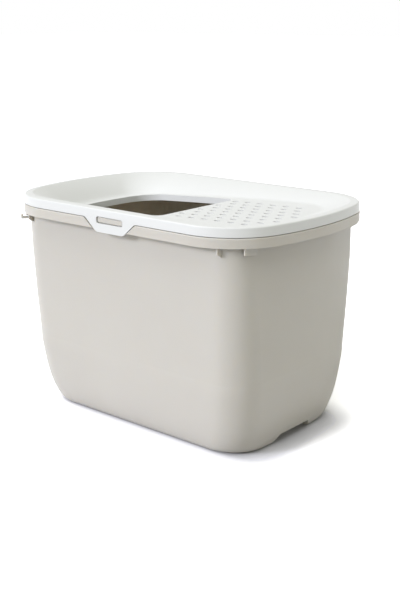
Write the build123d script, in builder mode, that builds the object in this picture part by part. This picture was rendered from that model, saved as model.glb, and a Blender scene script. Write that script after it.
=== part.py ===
from build123d import *
import os
from math import cos, radians, sin, sqrt

# ---- Driving dimensions, mm ---------------------------------------------------------------
# X runs along the box, Y across it and Z up. The origin is on the floor, under the middle.
LENGTH = 585.0            # over the tub's rim
WIDTH = 400.0             # over the tub's rim
HEIGHT = 396.8            # from the floor to the crown of the lid
WALL = 2.5                # moulded wall of both mouldings

# Rim of the tub
RIM_TOP = 380.0           # shoulder under the skirt of the lid
RIM_BOTTOM = 363.9        # lower edge of the rim's own skirt
RIM_CORNER = 112.0        # plan radius of the corners
END_BOW = 500.0           # plan radius of the bowed short ends
RIM_TOP_RADIUS = 1.8      # softened upper edge of the rim's face
UPSTAND_INSET = 5.4       # wall inside the lid's skirt that carries the lid, from the rim's face

# Body of the tub
BODY_INSET = 21.4         # from the rim's face to the wall, just under the rim
BODY_CORNER = 51.0        # plan corner radius under the rim
BASE_CORNER = 64.0        # plan corner radius near the floor
BASE_BOW = 1400.0         # the short ends are nearly flat near the floor
DRAFT_X = 0.047           # inward draft of the short ends, mm per mm
DRAFT_Y = 0.049           # inward draft of the long sides, mm per mm
CURVE_HEIGHT = 133.0      # below this height the walls curve in towards the floor
CURVE_INSET = 27.0        # how far they curve in
CURVE_POWER = 2.13        # 2 would be a quarter ellipse
CURVE_STEP = 15.0         # degrees between the sections of the curved foot
DRAFT_SECTIONS = 4        # sections of the drafted stretch above it
FLOOR_TOP = 6.0           # inside floor
UNDERSIDE = 3.0           # the underside is raised inside a ring that the box stands on
FOOT_RING = 16.0          # width of that ring

# Finger grips under the short ends
GRIP_HEIGHT = 18.0
GRIP_TOP = 84.0
GRIP_BOTTOM = 114.0
GRIP_INNER_X = 204.0      # the grips reach in to here
GRIP_RADIUS = 8.0

# Lid: skirt and crown
SKIRT_BOTTOM = 381.2      # a shadow gap above the rim's shoulder
SKIRT_INSET = 0.6         # the skirt stands this far inside the rim's face
SKIRT_LEAN = 1.1          # and leans in by this much up to the crown
CROWN_RADIUS = 2.6

# Dish of the lid, as plan outlines at three heights:
# height, centre x, half length, half width, corner radius, end radius
DISH_PLANS = [
    (398.8, 0.0, 283.4, 191.0, 103.0, 490.0),
    (382.0, -10.0, 242.0, 134.0, 68.0, 430.0),
    (357.0, -27.0, 191.0, 95.0, 46.0, 330.0),
]

# Deck in the dish: a long shallow arc, in X and Z, that falls towards the entry
DECK_LEFT = (-300.0, 354.2)
DECK_MIDDLE = (0.0, 376.2)
DECK_RIGHT = (300.0, 383.0)
DISH_RADIUS = 24.0        # between the deck and the walls of the dish

# Entry opening
ENTRY_LEFT = -208.0
ENTRY_RIGHT = 24.0
ENTRY_HALF_WIDTH = 104.0
ENTRY_BOW = 420.0         # plan radius of the side that follows the end of the box
ENTRY_OUTER_CORNER = 58.0
ENTRY_INNER_CORNER = 16.0
COLLAR_DEPTH = 11.5       # collar that drops from the lip, below the deck's top
COLLAR_WALL = 2.6

# Draining holes of the deck, in staggered rows
HOLE_PITCH_X = 28.0
HOLE_PITCH_Y = 24.75
HOLE_LENGTH = 13.0
HOLE_WIDTH = 7.0
HOLE_ROWS = 8
HOLE_COLUMNS = 7
HOLE_FIRST_X = 39.5
HOLE_FIELD_X = 225.0      # the field of holes ends here in the middle,
HOLE_FIELD_BOW = 200.0    # and follows the end of the dish with this plan radius

# Latches
LATCH_ROOT_Z = 386.0      # the tab flexes here
LATCH_BOTTOM_Z = 358.5
LATCH_ROOT_HALF = 67.0    # half width of the strip of skirt that flexes with the tab
LATCH_TOP_HALF = 57.5
LATCH_BOTTOM_HALF = 31.0
LATCH_TOP_RADIUS = 12.0
LATCH_BOTTOM_RADIUS = 12.0
LATCH_THICKNESS = 3.4
LATCH_INSET = 0.2         # face of the tab's lower edge, from the rim's face
LATCH_GAP = 0.3           # beside the strip of skirt
SLOT_LENGTH = 61.0
SLOT_HEIGHT = 11.4
SLOT_RADIUS = 3.8
SLOT_Z = 378.8
LUG_LENGTH = 58.0
LUG_HEIGHT = 9.2
LUG_RADIUS = 3.0
LUG_CHAMFER = 1.2         # the tab rides up this slope as it snaps on
LUG_FACE_INSET = 2.2      # face of the lug, from the rim's face
RECESS_GAP = 2.2          # beside the tab, in the rim
RECESS_DEPTH = 6.4

# De-nesting ribs under the rim: distance from the middle, outer edge, root in the wall
RIB_PLACES = [(217.0, 185.4, 170.0), (252.0, 161.8, 110.0)]
RIB_THICKNESS = 2.0
RIB_OUTER_Z = 353.0
RIB_ROOT_Z = 345.0

# Scoop hook under the rim, at one corner
HOOK_CENTRE = (-201.0, -128.0)
HOOK_ANGLE = 230.0
HOOK_ROOT = 44.0
HOOK_REACH = 68.1
HOOK_WIDTH = 8.0
HOOK_BOTTOM = 350.6
HOOK_TIP = 358.9
HOOK_THICKNESS = 4.0
HOOK_RADIUS = 1.6

FRONT, REAR = -1, 1


# ---- Outlines -----------------------------------------------------------------------------
def bowed_outline(half_length, half_width, corner, bow, mode=Mode.ADD):
    """Straight long sides, round corners and bowed short ends, in the open sketch."""
    corner_y = half_width - corner
    bow_x = half_length - bow
    corner_x = bow_x + sqrt((bow - corner) ** 2 - corner_y**2)
    end_x = bow_x + (corner_x - bow_x) * bow / (bow - corner)
    end_y = corner_y * bow / (bow - corner)
    with BuildLine() as path:
        right = ThreePointArc((end_x, -end_y), (half_length, 0), (end_x, end_y))
        TangentArc(right @ 1, (corner_x, half_width), tangent=right % 1)
        Line((corner_x, half_width), (-corner_x, half_width))
        TangentArc((-corner_x, half_width), (-end_x, end_y), tangent=(-1, 0))
        left = ThreePointArc((-end_x, end_y), (-half_length, 0), (-end_x, -end_y))
        TangentArc(left @ 1, (-corner_x, -half_width), tangent=left % 1)
        Line((-corner_x, -half_width), (corner_x, -half_width))
        TangentArc((corner_x, -half_width), (end_x, -end_y), tangent=(1, 0))
    make_face(path.edges(), mode=mode)


def rim_outline(inset, mode=Mode.ADD):
    """The rim's outline, moved in by inset."""
    bowed_outline(LENGTH / 2 - inset, WIDTH / 2 - inset, RIM_CORNER - inset, END_BOW - inset, mode)


def body_outline(z, inset=0.0):
    """The outline of the tub's wall at height z, moved in by inset."""
    below = max(0.0, 1 - z / CURVE_HEIGHT)
    curve = CURVE_INSET * (1 - (1 - below**CURVE_POWER) ** (1 / CURVE_POWER))
    drop = RIM_BOTTOM - z
    share = z / RIM_BOTTOM
    corner = BASE_CORNER + (BODY_CORNER - BASE_CORNER) * share
    bow = BASE_BOW + (END_BOW - BASE_BOW) * share
    half_length = LENGTH / 2 - BODY_INSET - DRAFT_X * drop - curve
    half_width = WIDTH / 2 - BODY_INSET - DRAFT_Y * drop - curve
    bowed_outline(half_length - inset, half_width - inset, corner - inset, bow - inset)


def deck_line(lowered=0.0):
    """The deck's arc in the open line, moved down by this much."""
    ThreePointArc(*[(x, z - lowered) for x, z in (DECK_LEFT, DECK_MIDDLE, DECK_RIGHT)])


def side_plane(side, distance):
    """Upright plane beside the box: x along the box as seen from outside, y up."""
    return Plane(origin=(0, side * distance, 0), x_dir=(-side, 0, 0), z_dir=(0, side, 0))


def grip_outline(grow=0.0):
    """Finger grip seen from the end of the box."""
    with BuildLine() as path:
        Polyline(
            (-GRIP_BOTTOM / 2 - grow, 0),
            (-GRIP_TOP / 2 - grow, GRIP_HEIGHT + grow),
            (GRIP_TOP / 2 + grow, GRIP_HEIGHT + grow),
            (GRIP_BOTTOM / 2 + grow, 0),
            close=True,
        )
    make_face(path.edges())
    fillet(path.vertices().group_by(Axis.Y)[-1], GRIP_RADIUS + grow)


def entry_outline(grow=0.0, mode=Mode.ADD):
    """Entry opening: one side bowed like the end of the box, the other straight."""
    left = ENTRY_LEFT - grow
    right = ENTRY_RIGHT + grow
    half_width = ENTRY_HALF_WIDTH + grow
    bow = ENTRY_BOW + grow
    side_x = left + bow - sqrt(bow**2 - half_width**2)
    with BuildSketch(mode=Mode.PRIVATE) as entry:
        with BuildLine():
            ThreePointArc((side_x, -half_width), (left, 0), (side_x, half_width))
            Polyline((side_x, half_width), (right, half_width), (right, -half_width), (side_x, -half_width))
        make_face()
        fillet(entry.vertices().group_by(Axis.X)[0], ENTRY_OUTER_CORNER + grow)
        fillet(entry.vertices().group_by(Axis.X)[-1], ENTRY_INNER_CORNER + grow)
    add(entry.sketch, mode=mode)


# ---- Tub ----------------------------------------------------------------------------------
def stack_outlines(bottom, inset=0.0):
    """A solid through the wall's outlines, raised by bottom: the curved foot, then the drafted stretch."""
    with BuildPart() as stack:
        for step in range(round(90 / CURVE_STEP) + 1):
            height = CURVE_HEIGHT * (1 - cos(radians(step * CURVE_STEP)))
            with BuildSketch(Plane.XY.offset(bottom + height)):
                body_outline(height, inset)
        loft()
        for section in range(DRAFT_SECTIONS):
            height = CURVE_HEIGHT + (RIM_TOP - CURVE_HEIGHT) * section / (DRAFT_SECTIONS - 1)
            with BuildSketch(Plane.XY.offset(bottom + height)):
                body_outline(height, inset)
        loft(ruled=True)
    return stack.part


wall_solid = stack_outlines(0)
cavity_solid = stack_outlines(FLOOR_TOP, WALL)

with BuildPart() as litter_space:
    add(cavity_solid)
    # On through the upstand
    extrude(litter_space.faces().sort_by(Axis.Z)[-1], amount=HEIGHT - RIM_TOP)
    for end_x, inward in ((GRIP_INNER_X - WALL, 1), (-GRIP_INNER_X + WALL, -1)):
        with BuildSketch(Plane.YZ.offset(end_x)):
            grip_outline(grow=WALL)
        extrude(amount=inward * LENGTH / 4, mode=Mode.SUBTRACT)

# Rim: a flange with a down-turned skirt, and the upstand that the crown of the lid rests on
with BuildPart() as rim:
    with BuildSketch(Plane.XY.offset(RIM_BOTTOM)):
        rim_outline(0)
    extrude(amount=RIM_TOP - RIM_BOTTOM)
    fillet(rim.edges().group_by(Axis.Z)[-1], RIM_TOP_RADIUS)
    with BuildSketch(Plane.XY.offset(RIM_BOTTOM)):
        rim_outline(WALL)
    extrude(amount=RIM_TOP - RIM_BOTTOM - WALL, mode=Mode.SUBTRACT)
    with BuildSketch(Plane.XY.offset(RIM_TOP)):
        rim_outline(UPSTAND_INSET)
        rim_outline(UPSTAND_INSET + WALL, mode=Mode.SUBTRACT)
    extrude(amount=HEIGHT - WALL - RIM_TOP)

with BuildPart() as tub:
    # Walls, solid for now
    add(wall_solid)
    add(rim.part)

    # De-nesting ribs, two under each corner of the rim
    for rib_x, outer_y, root_y in RIB_PLACES:
        for end in (-1, 1):
            for side in (FRONT, REAR):
                with BuildSketch(Plane.YZ.offset(end * rib_x)):
                    with BuildLine():
                        Polyline(
                            (side * root_y, RIM_TOP - WALL / 2),
                            (side * outer_y, RIM_TOP - WALL / 2),
                            (side * outer_y, RIB_OUTER_Z),
                            (side * root_y, RIB_ROOT_Z),
                            close=True,
                        )
                    make_face()
                extrude(amount=RIB_THICKNESS / 2, both=True)

    # Scoop hook: a flat bar out of the corner, turned up at its tip
    hook_direction = (cos(radians(HOOK_ANGLE)), sin(radians(HOOK_ANGLE)), 0)
    hook_normal = (sin(radians(HOOK_ANGLE)), -cos(radians(HOOK_ANGLE)), 0)
    with BuildSketch(Plane((*HOOK_CENTRE, 0), x_dir=hook_direction, z_dir=hook_normal)) as hook:
        with BuildLine():
            Polyline(
                (HOOK_ROOT, HOOK_BOTTOM),
                (HOOK_REACH, HOOK_BOTTOM),
                (HOOK_REACH, HOOK_TIP),
                (HOOK_REACH - HOOK_THICKNESS, HOOK_TIP),
                (HOOK_REACH - HOOK_THICKNESS, HOOK_BOTTOM + HOOK_THICKNESS),
                (HOOK_ROOT, HOOK_BOTTOM + HOOK_THICKNESS),
                close=True,
            )
        make_face()
        fillet(hook.vertices().group_by(Axis.X)[-1], HOOK_RADIUS)
    extrude(amount=HOOK_WIDTH / 2, both=True)

    # Recess in the rim for each latch, with a wall behind it
    for side in (FRONT, REAR):
        for depth, grow, mode in ((RECESS_DEPTH + WALL, WALL, Mode.ADD), (RECESS_DEPTH, 0, Mode.SUBTRACT)):
            with BuildSketch(side_plane(side, WIDTH / 2)):
                with BuildLine():
                    Polyline(
                        (-LATCH_TOP_HALF - RECESS_GAP - grow, RIM_TOP),
                        (-LATCH_BOTTOM_HALF - RECESS_GAP - grow, LATCH_BOTTOM_Z),
                        (LATCH_BOTTOM_HALF + RECESS_GAP + grow, LATCH_BOTTOM_Z),
                        (LATCH_TOP_HALF + RECESS_GAP + grow, RIM_TOP),
                        close=True,
                    )
                make_face()
                with Locations((0, RIM_BOTTOM)):
                    below = (Align.CENTER, Align.MAX)
                    Rectangle(WIDTH, RIM_BOTTOM - LATCH_BOTTOM_Z, align=below, mode=Mode.SUBTRACT)
            extrude(amount=-depth, mode=mode)

    # The litter space opens the solid from above
    add(litter_space.part, mode=Mode.SUBTRACT)

    # Lugs that the latches snap over
    for side in (FRONT, REAR):
        with BuildSketch(side_plane(side, WIDTH / 2 - RECESS_DEPTH)):
            with Locations((0, SLOT_Z)):
                RectangleRounded(LUG_LENGTH, LUG_HEIGHT, LUG_RADIUS)
        extrude(amount=RECESS_DEPTH - LUG_FACE_INSET)
        lug_face = tub.faces().filter_by(Axis.Y).filter_by(
            lambda face: abs(face.center().Y - side * (WIDTH / 2 - LUG_FACE_INSET)) < LUG_CHAMFER
        )
        chamfer(lug_face.edges().group_by(Axis.Z)[-1], LUG_CHAMFER)

    # Finger grips, and the ring that the box stands on
    for end_x, inward in ((GRIP_INNER_X, 1), (-GRIP_INNER_X, -1)):
        with BuildSketch(Plane.YZ.offset(end_x)):
            grip_outline()
        extrude(amount=inward * LENGTH / 4, mode=Mode.SUBTRACT)
    with BuildSketch(Plane.XY):
        body_outline(0, FOOT_RING)
    extrude(amount=UNDERSIDE, mode=Mode.SUBTRACT)

tub.part.label = "tub"


# ---- Lid ----------------------------------------------------------------------------------
def make_dish(drop=0.0, grow=0.0):
    """Inside of the dish: its sloped walls, down to the deck."""
    with BuildPart() as shape:
        for height, centre, half_length, half_width, corner, bow in DISH_PLANS:
            with BuildSketch(Plane((centre, 0, height - drop))):
                bowed_outline(half_length + grow, half_width + grow, corner + grow, bow + grow)
        loft()
        with BuildSketch(Plane.XZ.offset(-WIDTH / 2)):
            with BuildLine():
                deck_line(drop)
                above = HEIGHT + WALL
                Polyline(
                    (DECK_LEFT[0], DECK_LEFT[1] - drop),
                    (DECK_LEFT[0], above),
                    (DECK_RIGHT[0], above),
                    (DECK_RIGHT[0], DECK_RIGHT[1] - drop),
                )
            make_face()
        extrude(amount=WIDTH, mode=Mode.INTERSECT)
        deck = shape.faces().filter_by(GeomType.CYLINDER).sort_by(SortBy.AREA)[-1]
        fillet(deck.edges(), DISH_RADIUS + drop)
    return shape.part


dish_inside = make_dish()
dish_skin = make_dish(drop=WALL, grow=WALL / 4)

with BuildPart() as collar:
    with BuildSketch(Plane.XY.offset(HEIGHT / 2)):
        entry_outline(grow=COLLAR_WALL)
        entry_outline(mode=Mode.SUBTRACT)
    extrude(amount=HEIGHT / 2)
    with BuildSketch(Plane.XZ.offset(-WIDTH / 2)):
        with BuildLine():
            deck_line()
            deck_line(COLLAR_DEPTH)
            for x, z in (DECK_LEFT, DECK_RIGHT):
                Line((x, z), (x, z - COLLAR_DEPTH))
        make_face()
    extrude(amount=WIDTH, mode=Mode.INTERSECT)

hole_centres = []
for row in range(HOLE_ROWS):
    hole_y = (row - (HOLE_ROWS - 1) / 2) * HOLE_PITCH_Y
    stagger = HOLE_PITCH_X / 2 * ((row + 1) % 2)
    for column in range(HOLE_COLUMNS):
        hole_x = HOLE_FIRST_X + stagger + column * HOLE_PITCH_X
        if hole_x < HOLE_FIELD_X - hole_y**2 / (2 * HOLE_FIELD_BOW):
            hole_centres.append((hole_x, hole_y))

with BuildPart() as lid:
    # Crown and skirt
    for height, inset in ((SKIRT_BOTTOM, SKIRT_INSET), (HEIGHT, SKIRT_INSET + SKIRT_LEAN)):
        with BuildSketch(Plane.XY.offset(height)):
            rim_outline(inset)
    loft()
    fillet(lid.edges().group_by(Axis.Z)[-1], CROWN_RADIUS)
    for height, inset in ((SKIRT_BOTTOM, SKIRT_INSET), (HEIGHT - WALL, SKIRT_INSET + SKIRT_LEAN)):
        with BuildSketch(Plane.XY.offset(height)):
            rim_outline(inset + WALL)
    loft(mode=Mode.SUBTRACT)

    # Dish with its deck, and the collar of the entry
    add(dish_skin)
    add(dish_inside, mode=Mode.SUBTRACT)
    add(collar.part)
    with BuildSketch(Plane.XY.offset(HEIGHT / 2)):
        entry_outline()
    extrude(amount=HEIGHT / 2, mode=Mode.SUBTRACT)

    # Draining holes
    with BuildSketch(Plane.XY.offset(HEIGHT / 2)):
        with Locations(hole_centres):
            SlotOverall(HOLE_LENGTH, HOLE_WIDTH)
    extrude(amount=HEIGHT / 2, mode=Mode.SUBTRACT)

    # The skirt is interrupted where the latches flex
    for side in (FRONT, REAR):
        with BuildSketch(side_plane(side, WIDTH / 2)):
            with Locations((0, LATCH_ROOT_Z)):
                Rectangle(
                    2 * (LATCH_ROOT_HALF + LATCH_GAP),
                    LATCH_ROOT_Z - SKIRT_BOTTOM,
                    align=(Align.CENTER, Align.MAX),
                )
        extrude(amount=-UPSTAND_INSET, mode=Mode.SUBTRACT)

lid.part.label = "lid"


# ---- Latches ------------------------------------------------------------------------------
def make_latch(side):
    """Snap tab with its slot, hanging from the skirt."""
    with BuildPart() as tab:
        with BuildSketch(side_plane(side, WIDTH / 2 + WALL)) as face:
            with BuildLine():
                Polyline(
                    (-LATCH_ROOT_HALF, LATCH_ROOT_Z),
                    (-LATCH_ROOT_HALF, SKIRT_BOTTOM),
                    (-LATCH_TOP_HALF, SKIRT_BOTTOM),
                    (-LATCH_BOTTOM_HALF, LATCH_BOTTOM_Z),
                    (LATCH_BOTTOM_HALF, LATCH_BOTTOM_Z),
                    (LATCH_TOP_HALF, SKIRT_BOTTOM),
                    (LATCH_ROOT_HALF, SKIRT_BOTTOM),
                    (LATCH_ROOT_HALF, LATCH_ROOT_Z),
                    close=True,
                )
            make_face()
            fillet(face.vertices().group_by(Axis.Y)[0], LATCH_BOTTOM_RADIUS)
            for end in (-1, 1):
                shoulder = face.vertices().sort_by_distance((end * LATCH_TOP_HALF, SKIRT_BOTTOM))[0]
                fillet(shoulder, LATCH_TOP_RADIUS)
            with Locations((0, SLOT_Z)):
                RectangleRounded(SLOT_LENGTH, SLOT_HEIGHT, SLOT_RADIUS, mode=Mode.SUBTRACT)
        extrude(amount=-UPSTAND_INSET - 2 * WALL)
        with BuildSketch(Plane.YZ.offset(-WIDTH / 2)):
            with BuildLine():
                bottom_y = WIDTH / 2 - LATCH_INSET
                lean = SKIRT_LEAN / (HEIGHT - SKIRT_BOTTOM)
                root_y = WIDTH / 2 - SKIRT_INSET - lean * (LATCH_ROOT_Z - SKIRT_BOTTOM)
                Polyline(
                    (side * bottom_y, LATCH_BOTTOM_Z),
                    (side * root_y, LATCH_ROOT_Z),
                    (side * (root_y - LATCH_THICKNESS), LATCH_ROOT_Z),
                    (side * (bottom_y - LATCH_THICKNESS), LATCH_BOTTOM_Z),
                    close=True,
                )
            make_face()
        extrude(amount=WIDTH, mode=Mode.INTERSECT)
    return tab.part


latch_front = make_latch(FRONT)
latch_front.label = "latch_front"
latch_rear = make_latch(REAR)
latch_rear.label = "latch_rear"

os.makedirs("parts", exist_ok=True)
export_step(tub.part, "parts/tub.step")
export_step(lid.part, "parts/lid.step")
export_step(latch_front, "parts/latch_front.step")
export_step(latch_rear, "parts/latch_rear.step")
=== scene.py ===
import math

import bmesh
import bpy
from mathutils import Matrix, Vector


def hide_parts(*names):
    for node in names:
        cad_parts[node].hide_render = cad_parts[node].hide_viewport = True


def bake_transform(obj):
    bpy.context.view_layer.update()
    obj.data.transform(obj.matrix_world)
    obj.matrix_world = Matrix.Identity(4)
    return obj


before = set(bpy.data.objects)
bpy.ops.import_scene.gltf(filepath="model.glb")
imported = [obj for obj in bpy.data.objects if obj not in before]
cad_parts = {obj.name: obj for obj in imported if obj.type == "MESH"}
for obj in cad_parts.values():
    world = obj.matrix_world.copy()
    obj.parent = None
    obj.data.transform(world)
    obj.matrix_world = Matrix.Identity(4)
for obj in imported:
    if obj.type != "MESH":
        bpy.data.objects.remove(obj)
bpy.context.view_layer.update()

# ---- Camera and light, metres and degrees --------------------------------------------------
CAMERA_AZIMUTH = 40.13
CAMERA_ELEVATION = 15.81
CAMERA_DISTANCE = 1.8425
CAMERA_AIM = Vector((0, 0, 0.190))     # middle of the box
CAMERA_RIGHT = 0.0210                  # the view's centre, beside and above that point
CAMERA_UP = 0.0119
CAMERA_LENS = 60.15                    # mm, on a sensor of this long side
CAMERA_SENSOR = 36
CAMERA_REACH = 100                     # nothing further away is drawn

WORLD_LIGHT = 0.37
WORLD_COLOUR = (1.0, 0.995, 0.83)      # the ambient light is a little warm
# Soft lights: direction towards the light, angle it is seen under in degrees, the share of
# white that it gives a surface that faces it, and its colour
LIGHTS = {
    "key": (Vector((-0.42, -0.82, 0.375)), 18, 0.59, (0.98, 0.99, 1.08)),
    "top": (Vector((0.24, -0.26, 0.93)), 45, 0.36, (1.0, 1.0, 1.0)),
    "side": (Vector((0.90, 0.10, 0.05)), 60, 0.02, (1.0, 1.0, 0.88)),
}
FLOOR_SIZE = 60
FLOOR_BOUNCE = (0.50, 0.50, 0.50)      # colour of the floor, as it lights the object
FLOOR_SEEN = (1.95, 1.96, 2.10)        # its colour for the camera: neutral white in this light
FLOOR_PAINTED_SHADOW = (0.62, 0.623, 0.668)   # and as painted shadow, where the object stands close by,
CONTACT_REACH = 0.075                  # within this distance
CONTACT_SIDE = (-0.85, 0.10, 0.45)     # in this direction from the floor: the painted shadow is short
CONTACT_OPEN = (0.40, 0.84)            # how open the floor is in full painted shadow, and clear of it
CONTACT_SAMPLES = 12
FLOOR_ROUGHNESS = 0.9

# ---- Plastic -------------------------------------------------------------------------------
FLOW_SCALE = 6.0                       # features per metre of the drift in colour
GLOSS_SCALE = 22.0                     # and of the drift in gloss,
GLOSS_DRIFT = (-0.04, 0.05)            # which changes the roughness by this much
# Painted shade: the plastic's colour darkens in crevices of its own moulding
CREVICE_REACH = 0.012
CREVICE_OPEN = (0.25, 0.85)            # painted shade: how open a surface is in the deepest hollow, and in none
CREVICE_SAMPLES = 8
PLASTIC_SPECULAR = 0.42
GLOW_DEPTH = 0.005                     # how far light spreads inside the plastic,
GLOW_COLOUR = (1.0, 0.85, 0.65)        # red the furthest: a thin wall lets warm light through

# Sockets of a Mix node that blends colours
MIX_FIRST, MIX_SECOND, MIX_RESULT = 6, 7, 2


def new_material(name):
    """A material with an empty node tree, and its shader."""
    material = bpy.data.materials.new(name)
    material.use_nodes = True
    tree = material.node_tree
    tree.nodes.clear()
    output = tree.nodes.new("ShaderNodeOutputMaterial")
    shader = tree.nodes.new("ShaderNodeBsdfPrincipled")
    tree.links.new(shader.outputs["BSDF"], output.inputs["Surface"])
    return material, tree, shader


def noise(tree, scale, detail):
    """Noise in the object's own space, features per metre."""
    coordinates = tree.nodes.new("ShaderNodeTexCoord")
    texture = tree.nodes.new("ShaderNodeTexNoise")
    texture.inputs["Scale"].default_value = scale
    texture.inputs["Detail"].default_value = detail
    tree.links.new(coordinates.outputs["Object"], texture.inputs["Vector"])
    return texture.outputs["Fac"]


def spread(tree, value, low, high, start=0.3, end=0.7):
    """A value between start and end becomes one between low and high."""
    node = tree.nodes.new("ShaderNodeMapRange")
    node.inputs["From Min"].default_value = start
    node.inputs["From Max"].default_value = end
    node.inputs["To Min"].default_value = low
    node.inputs["To Max"].default_value = high
    tree.links.new(value, node.inputs["Value"])
    return node.outputs["Result"]


def feed(tree, socket, colour):
    """Sets a colour on a socket, or links it there where it comes from another node."""
    if isinstance(colour, tuple):
        socket.default_value = (*colour, 1)
    else:
        tree.links.new(colour, socket)


def mix_colours(tree, share, first, second, blend_type="MIX"):
    """The first colour where share is 0, and the second, or their product, where it is 1."""
    node = tree.nodes.new("ShaderNodeMix")
    node.data_type = "RGBA"
    node.blend_type = blend_type
    feed(tree, node.inputs[MIX_FIRST], first)
    feed(tree, node.inputs[MIX_SECOND], second)
    if isinstance(share, float):
        node.inputs["Factor"].default_value = share
    else:
        tree.links.new(share, node.inputs["Factor"])
    return node.outputs[MIX_RESULT]


def openness(tree, distance, samples):
    """The node that says how open a surface is within this distance, 0 to 1."""
    node = tree.nodes.new("ShaderNodeAmbientOcclusion")
    node.samples = samples
    node.inputs["Distance"].default_value = distance
    return node


def either(tree, first, second):
    """1 where either value is 1."""
    node = tree.nodes.new("ShaderNodeMath")
    node.operation = "MAXIMUM"
    tree.links.new(first, node.inputs[0])
    tree.links.new(second, node.inputs[1])
    return node.outputs[0]


def paint_crevice_shade(tree, colour, darkest):
    """Colour with painted shade: darker where the same moulding closes in on itself."""
    near = openness(tree, CREVICE_REACH, CREVICE_SAMPLES)
    near.only_local = True
    closed, clear = CREVICE_OPEN
    shade = spread(tree, near.outputs["AO"], darkest, 1.0, start=closed, end=clear)
    return mix_colours(tree, 1.0, colour, shade, "MULTIPLY")


def bump(tree, shader, height, distance):
    """Relief of this depth, in metres, on the surface of the shader."""
    node = tree.nodes.new("ShaderNodeBump")
    node.inputs["Distance"].default_value = distance
    node.inputs["Strength"].default_value = 1.0
    tree.links.new(height, node.inputs["Height"])
    tree.links.new(node.outputs["Normal"], shader.inputs["Normal"])


def plastic(name, colour, deeper, roughness, grain_scale, grain_depth, painted_crevice_shade, glow):
    """Moulded polypropylene: faint flow variation in colour and gloss, a fine grain, and painted
    shade in its crevices.
    """
    material, tree, shader = new_material(name)
    flow = noise(tree, FLOW_SCALE, 2.0)
    surface = mix_colours(tree, spread(tree, flow, 0, 1), colour, deeper)
    # painted shade in crevices, multiplied into the base colour
    tree.links.new(paint_crevice_shade(tree, surface, painted_crevice_shade), shader.inputs["Base Color"])
    gloss = noise(tree, GLOSS_SCALE, 4.0)
    smoother, rougher = GLOSS_DRIFT
    rough = spread(tree, gloss, roughness + smoother, roughness + rougher)
    tree.links.new(rough, shader.inputs["Roughness"])
    bump(tree, shader, noise(tree, grain_scale, 2.0), grain_depth)
    shader.inputs["Specular IOR Level"].default_value = PLASTIC_SPECULAR
    shader.inputs["Subsurface Weight"].default_value = glow
    shader.inputs["Subsurface Radius"].default_value = GLOW_COLOUR
    shader.inputs["Subsurface Scale"].default_value = GLOW_DEPTH
    return material


# the crevice argument is the darkest painted shade in crevices, as a factor on the colour
white = plastic(
    "lid_white", colour=(0.842, 0.856, 0.864), deeper=(0.826, 0.840, 0.848),
    roughness=0.36, grain_scale=900, grain_depth=0.00003, painted_crevice_shade=0.90, glow=0.0)
beige = plastic(
    "tub_beige", colour=(0.664, 0.640, 0.600), deeper=(0.650, 0.625, 0.584),
    roughness=0.46, grain_scale=1100, grain_depth=0.00005, painted_crevice_shade=0.55, glow=0.6)


def paint(obj, material):
    obj.data.materials.clear()
    obj.data.materials.append(material)


paint(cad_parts["tub"], beige)
for node in ("lid", "latch_front", "latch_rear"):
    paint(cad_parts[node], white)


# ---- Latches -------------------------------------------------------------------------------
LATCH_ROOT_Z = 0.3860        # the tab and the lid's skirt are one moulding down to here
LATCH_BEND_Z = 0.3812        # and below here the tab swings as a whole
LATCH_ROOT_HALF = 0.0670     # half width of the strip that bends
LATCH_SEAM = 0.0003          # slit beside the strip, in the solids
BEND_ROWS = 5


def flexing_latch(name):
    """A copy of the tab, cut into rows across the strip under its root where the real tab bends,
    its sides moved out by the slit's width; the CAD tab is hidden.
    """
    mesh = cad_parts[name].data.copy()
    piece = bpy.data.objects.new(name + "_flex", mesh)
    bpy.context.scene.collection.objects.link(piece)
    shape = bmesh.new()
    shape.from_mesh(mesh)
    for row in range(1, BEND_ROWS):
        z = LATCH_ROOT_Z + (LATCH_BEND_Z - LATCH_ROOT_Z) * row / BEND_ROWS
        everything = shape.verts[:] + shape.edges[:] + shape.faces[:]
        bmesh.ops.bisect_plane(shape, geom=everything, plane_co=(0, 0, z), plane_no=(0, 0, 1))
    for vertex in shape.verts:
        if abs(vertex.co.x) > LATCH_ROOT_HALF - LATCH_SEAM:
            vertex.co.x += math.copysign(LATCH_SEAM, vertex.co.x)
    shape.to_mesh(mesh)
    shape.free()
    paint(piece, white)
    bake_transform(piece)
    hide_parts(name)


flexing_latch("latch_front")
flexing_latch("latch_rear")


# ---- Floor, light and camera ---------------------------------------------------------------
def make_stage():
    """Pale floor. The camera and reflections see it white; it keeps the object's real shadow,
    with painted shadow added beside the object.
    """
    bpy.ops.mesh.primitive_plane_add(size=FLOOR_SIZE)
    floor = bpy.context.object
    floor.name = "floor"
    material, tree, shader = new_material("floor_white")
    path = tree.nodes.new("ShaderNodeLightPath")
    seen = either(tree, path.outputs["Is Camera Ray"], path.outputs["Is Glossy Ray"])
    # painted shadow: for the camera and reflections the floor darkens where the object stands
    # close by on one side
    near = openness(tree, CONTACT_REACH, CONTACT_SAMPLES)
    side = tree.nodes.new("ShaderNodeCombineXYZ")
    for socket, value in zip(side.inputs, Vector(CONTACT_SIDE).normalized()):
        socket.default_value = value
    tree.links.new(side.outputs["Vector"], near.inputs["Normal"])
    shadow, clear = CONTACT_OPEN
    painted_shadow = spread(tree, near.outputs["AO"], 0.0, 1.0, start=shadow, end=clear)
    pale = mix_colours(tree, painted_shadow, FLOOR_PAINTED_SHADOW, FLOOR_SEEN)
    colour = mix_colours(tree, seen, FLOOR_BOUNCE, pale)
    tree.links.new(colour, shader.inputs["Base Color"])
    shader.inputs["Roughness"].default_value = FLOOR_ROUGHNESS
    shader.inputs["Specular IOR Level"].default_value = 0.0
    floor.data.materials.append(material)


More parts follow.
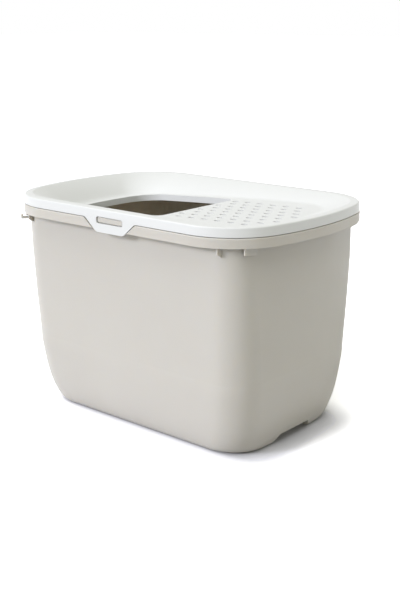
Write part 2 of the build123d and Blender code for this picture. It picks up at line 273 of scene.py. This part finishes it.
def make_world():
    """Soft light from all round, which the camera and reflections see as plain white."""
    world = bpy.data.worlds.new("studio")
    bpy.context.scene.world = world
    world.use_nodes = True
    tree = world.node_tree
    tree.nodes.clear()
    output = tree.nodes.new("ShaderNodeOutputWorld")
    soft = tree.nodes.new("ShaderNodeBackground")
    soft.inputs["Color"].default_value = (*WORLD_COLOUR, 1)
    soft.inputs["Strength"].default_value = WORLD_LIGHT
    plain = tree.nodes.new("ShaderNodeBackground")
    plain.inputs["Color"].default_value = (1, 1, 1, 1)
    plain.inputs["Strength"].default_value = 1.0
    path = tree.nodes.new("ShaderNodeLightPath")
    seen = either(tree, path.outputs["Is Camera Ray"], path.outputs["Is Glossy Ray"])
    seen = either(tree, seen, path.outputs["Is Transmission Ray"])
    mix = tree.nodes.new("ShaderNodeMixShader")
    tree.links.new(seen, mix.inputs["Fac"])
    tree.links.new(soft.outputs[0], mix.inputs[1])
    tree.links.new(plain.outputs[0], mix.inputs[2])
    tree.links.new(mix.outputs[0], output.inputs["Surface"])


def make_lights():
    for name, (direction, angle, share, colour) in LIGHTS.items():
        data = bpy.data.lights.new(name, "SUN")
        data.angle = math.radians(angle)
        data.energy = share * math.pi
        data.color = colour
        light = bpy.data.objects.new(name, data)
        light.rotation_euler = direction.to_track_quat("Z", "Y").to_euler()
        bpy.context.scene.collection.objects.link(light)


def make_camera():
    azimuth = math.radians(CAMERA_AZIMUTH)
    elevation = math.radians(CAMERA_ELEVATION)
    back = Vector((
        math.sin(azimuth) * math.cos(elevation),
        -math.cos(azimuth) * math.cos(elevation),
        math.sin(elevation),
    ))
    right = Vector((math.cos(azimuth), math.sin(azimuth), 0))
    up = back.cross(right)
    camera = bpy.data.objects.new("camera", bpy.data.cameras.new("camera"))
    camera.data.lens = CAMERA_LENS
    camera.data.sensor_width = CAMERA_SENSOR
    camera.data.clip_end = CAMERA_REACH
    camera.location = CAMERA_AIM + right * CAMERA_RIGHT + up * CAMERA_UP + back * CAMERA_DISTANCE
    camera.rotation_euler = Matrix((right, up, back)).transposed().to_euler()
    bpy.context.scene.collection.objects.link(camera)
    bpy.context.scene.camera = camera


make_stage()
make_world()
make_lights()
make_camera()
bpy.context.scene.view_settings.view_transform = "Standard"
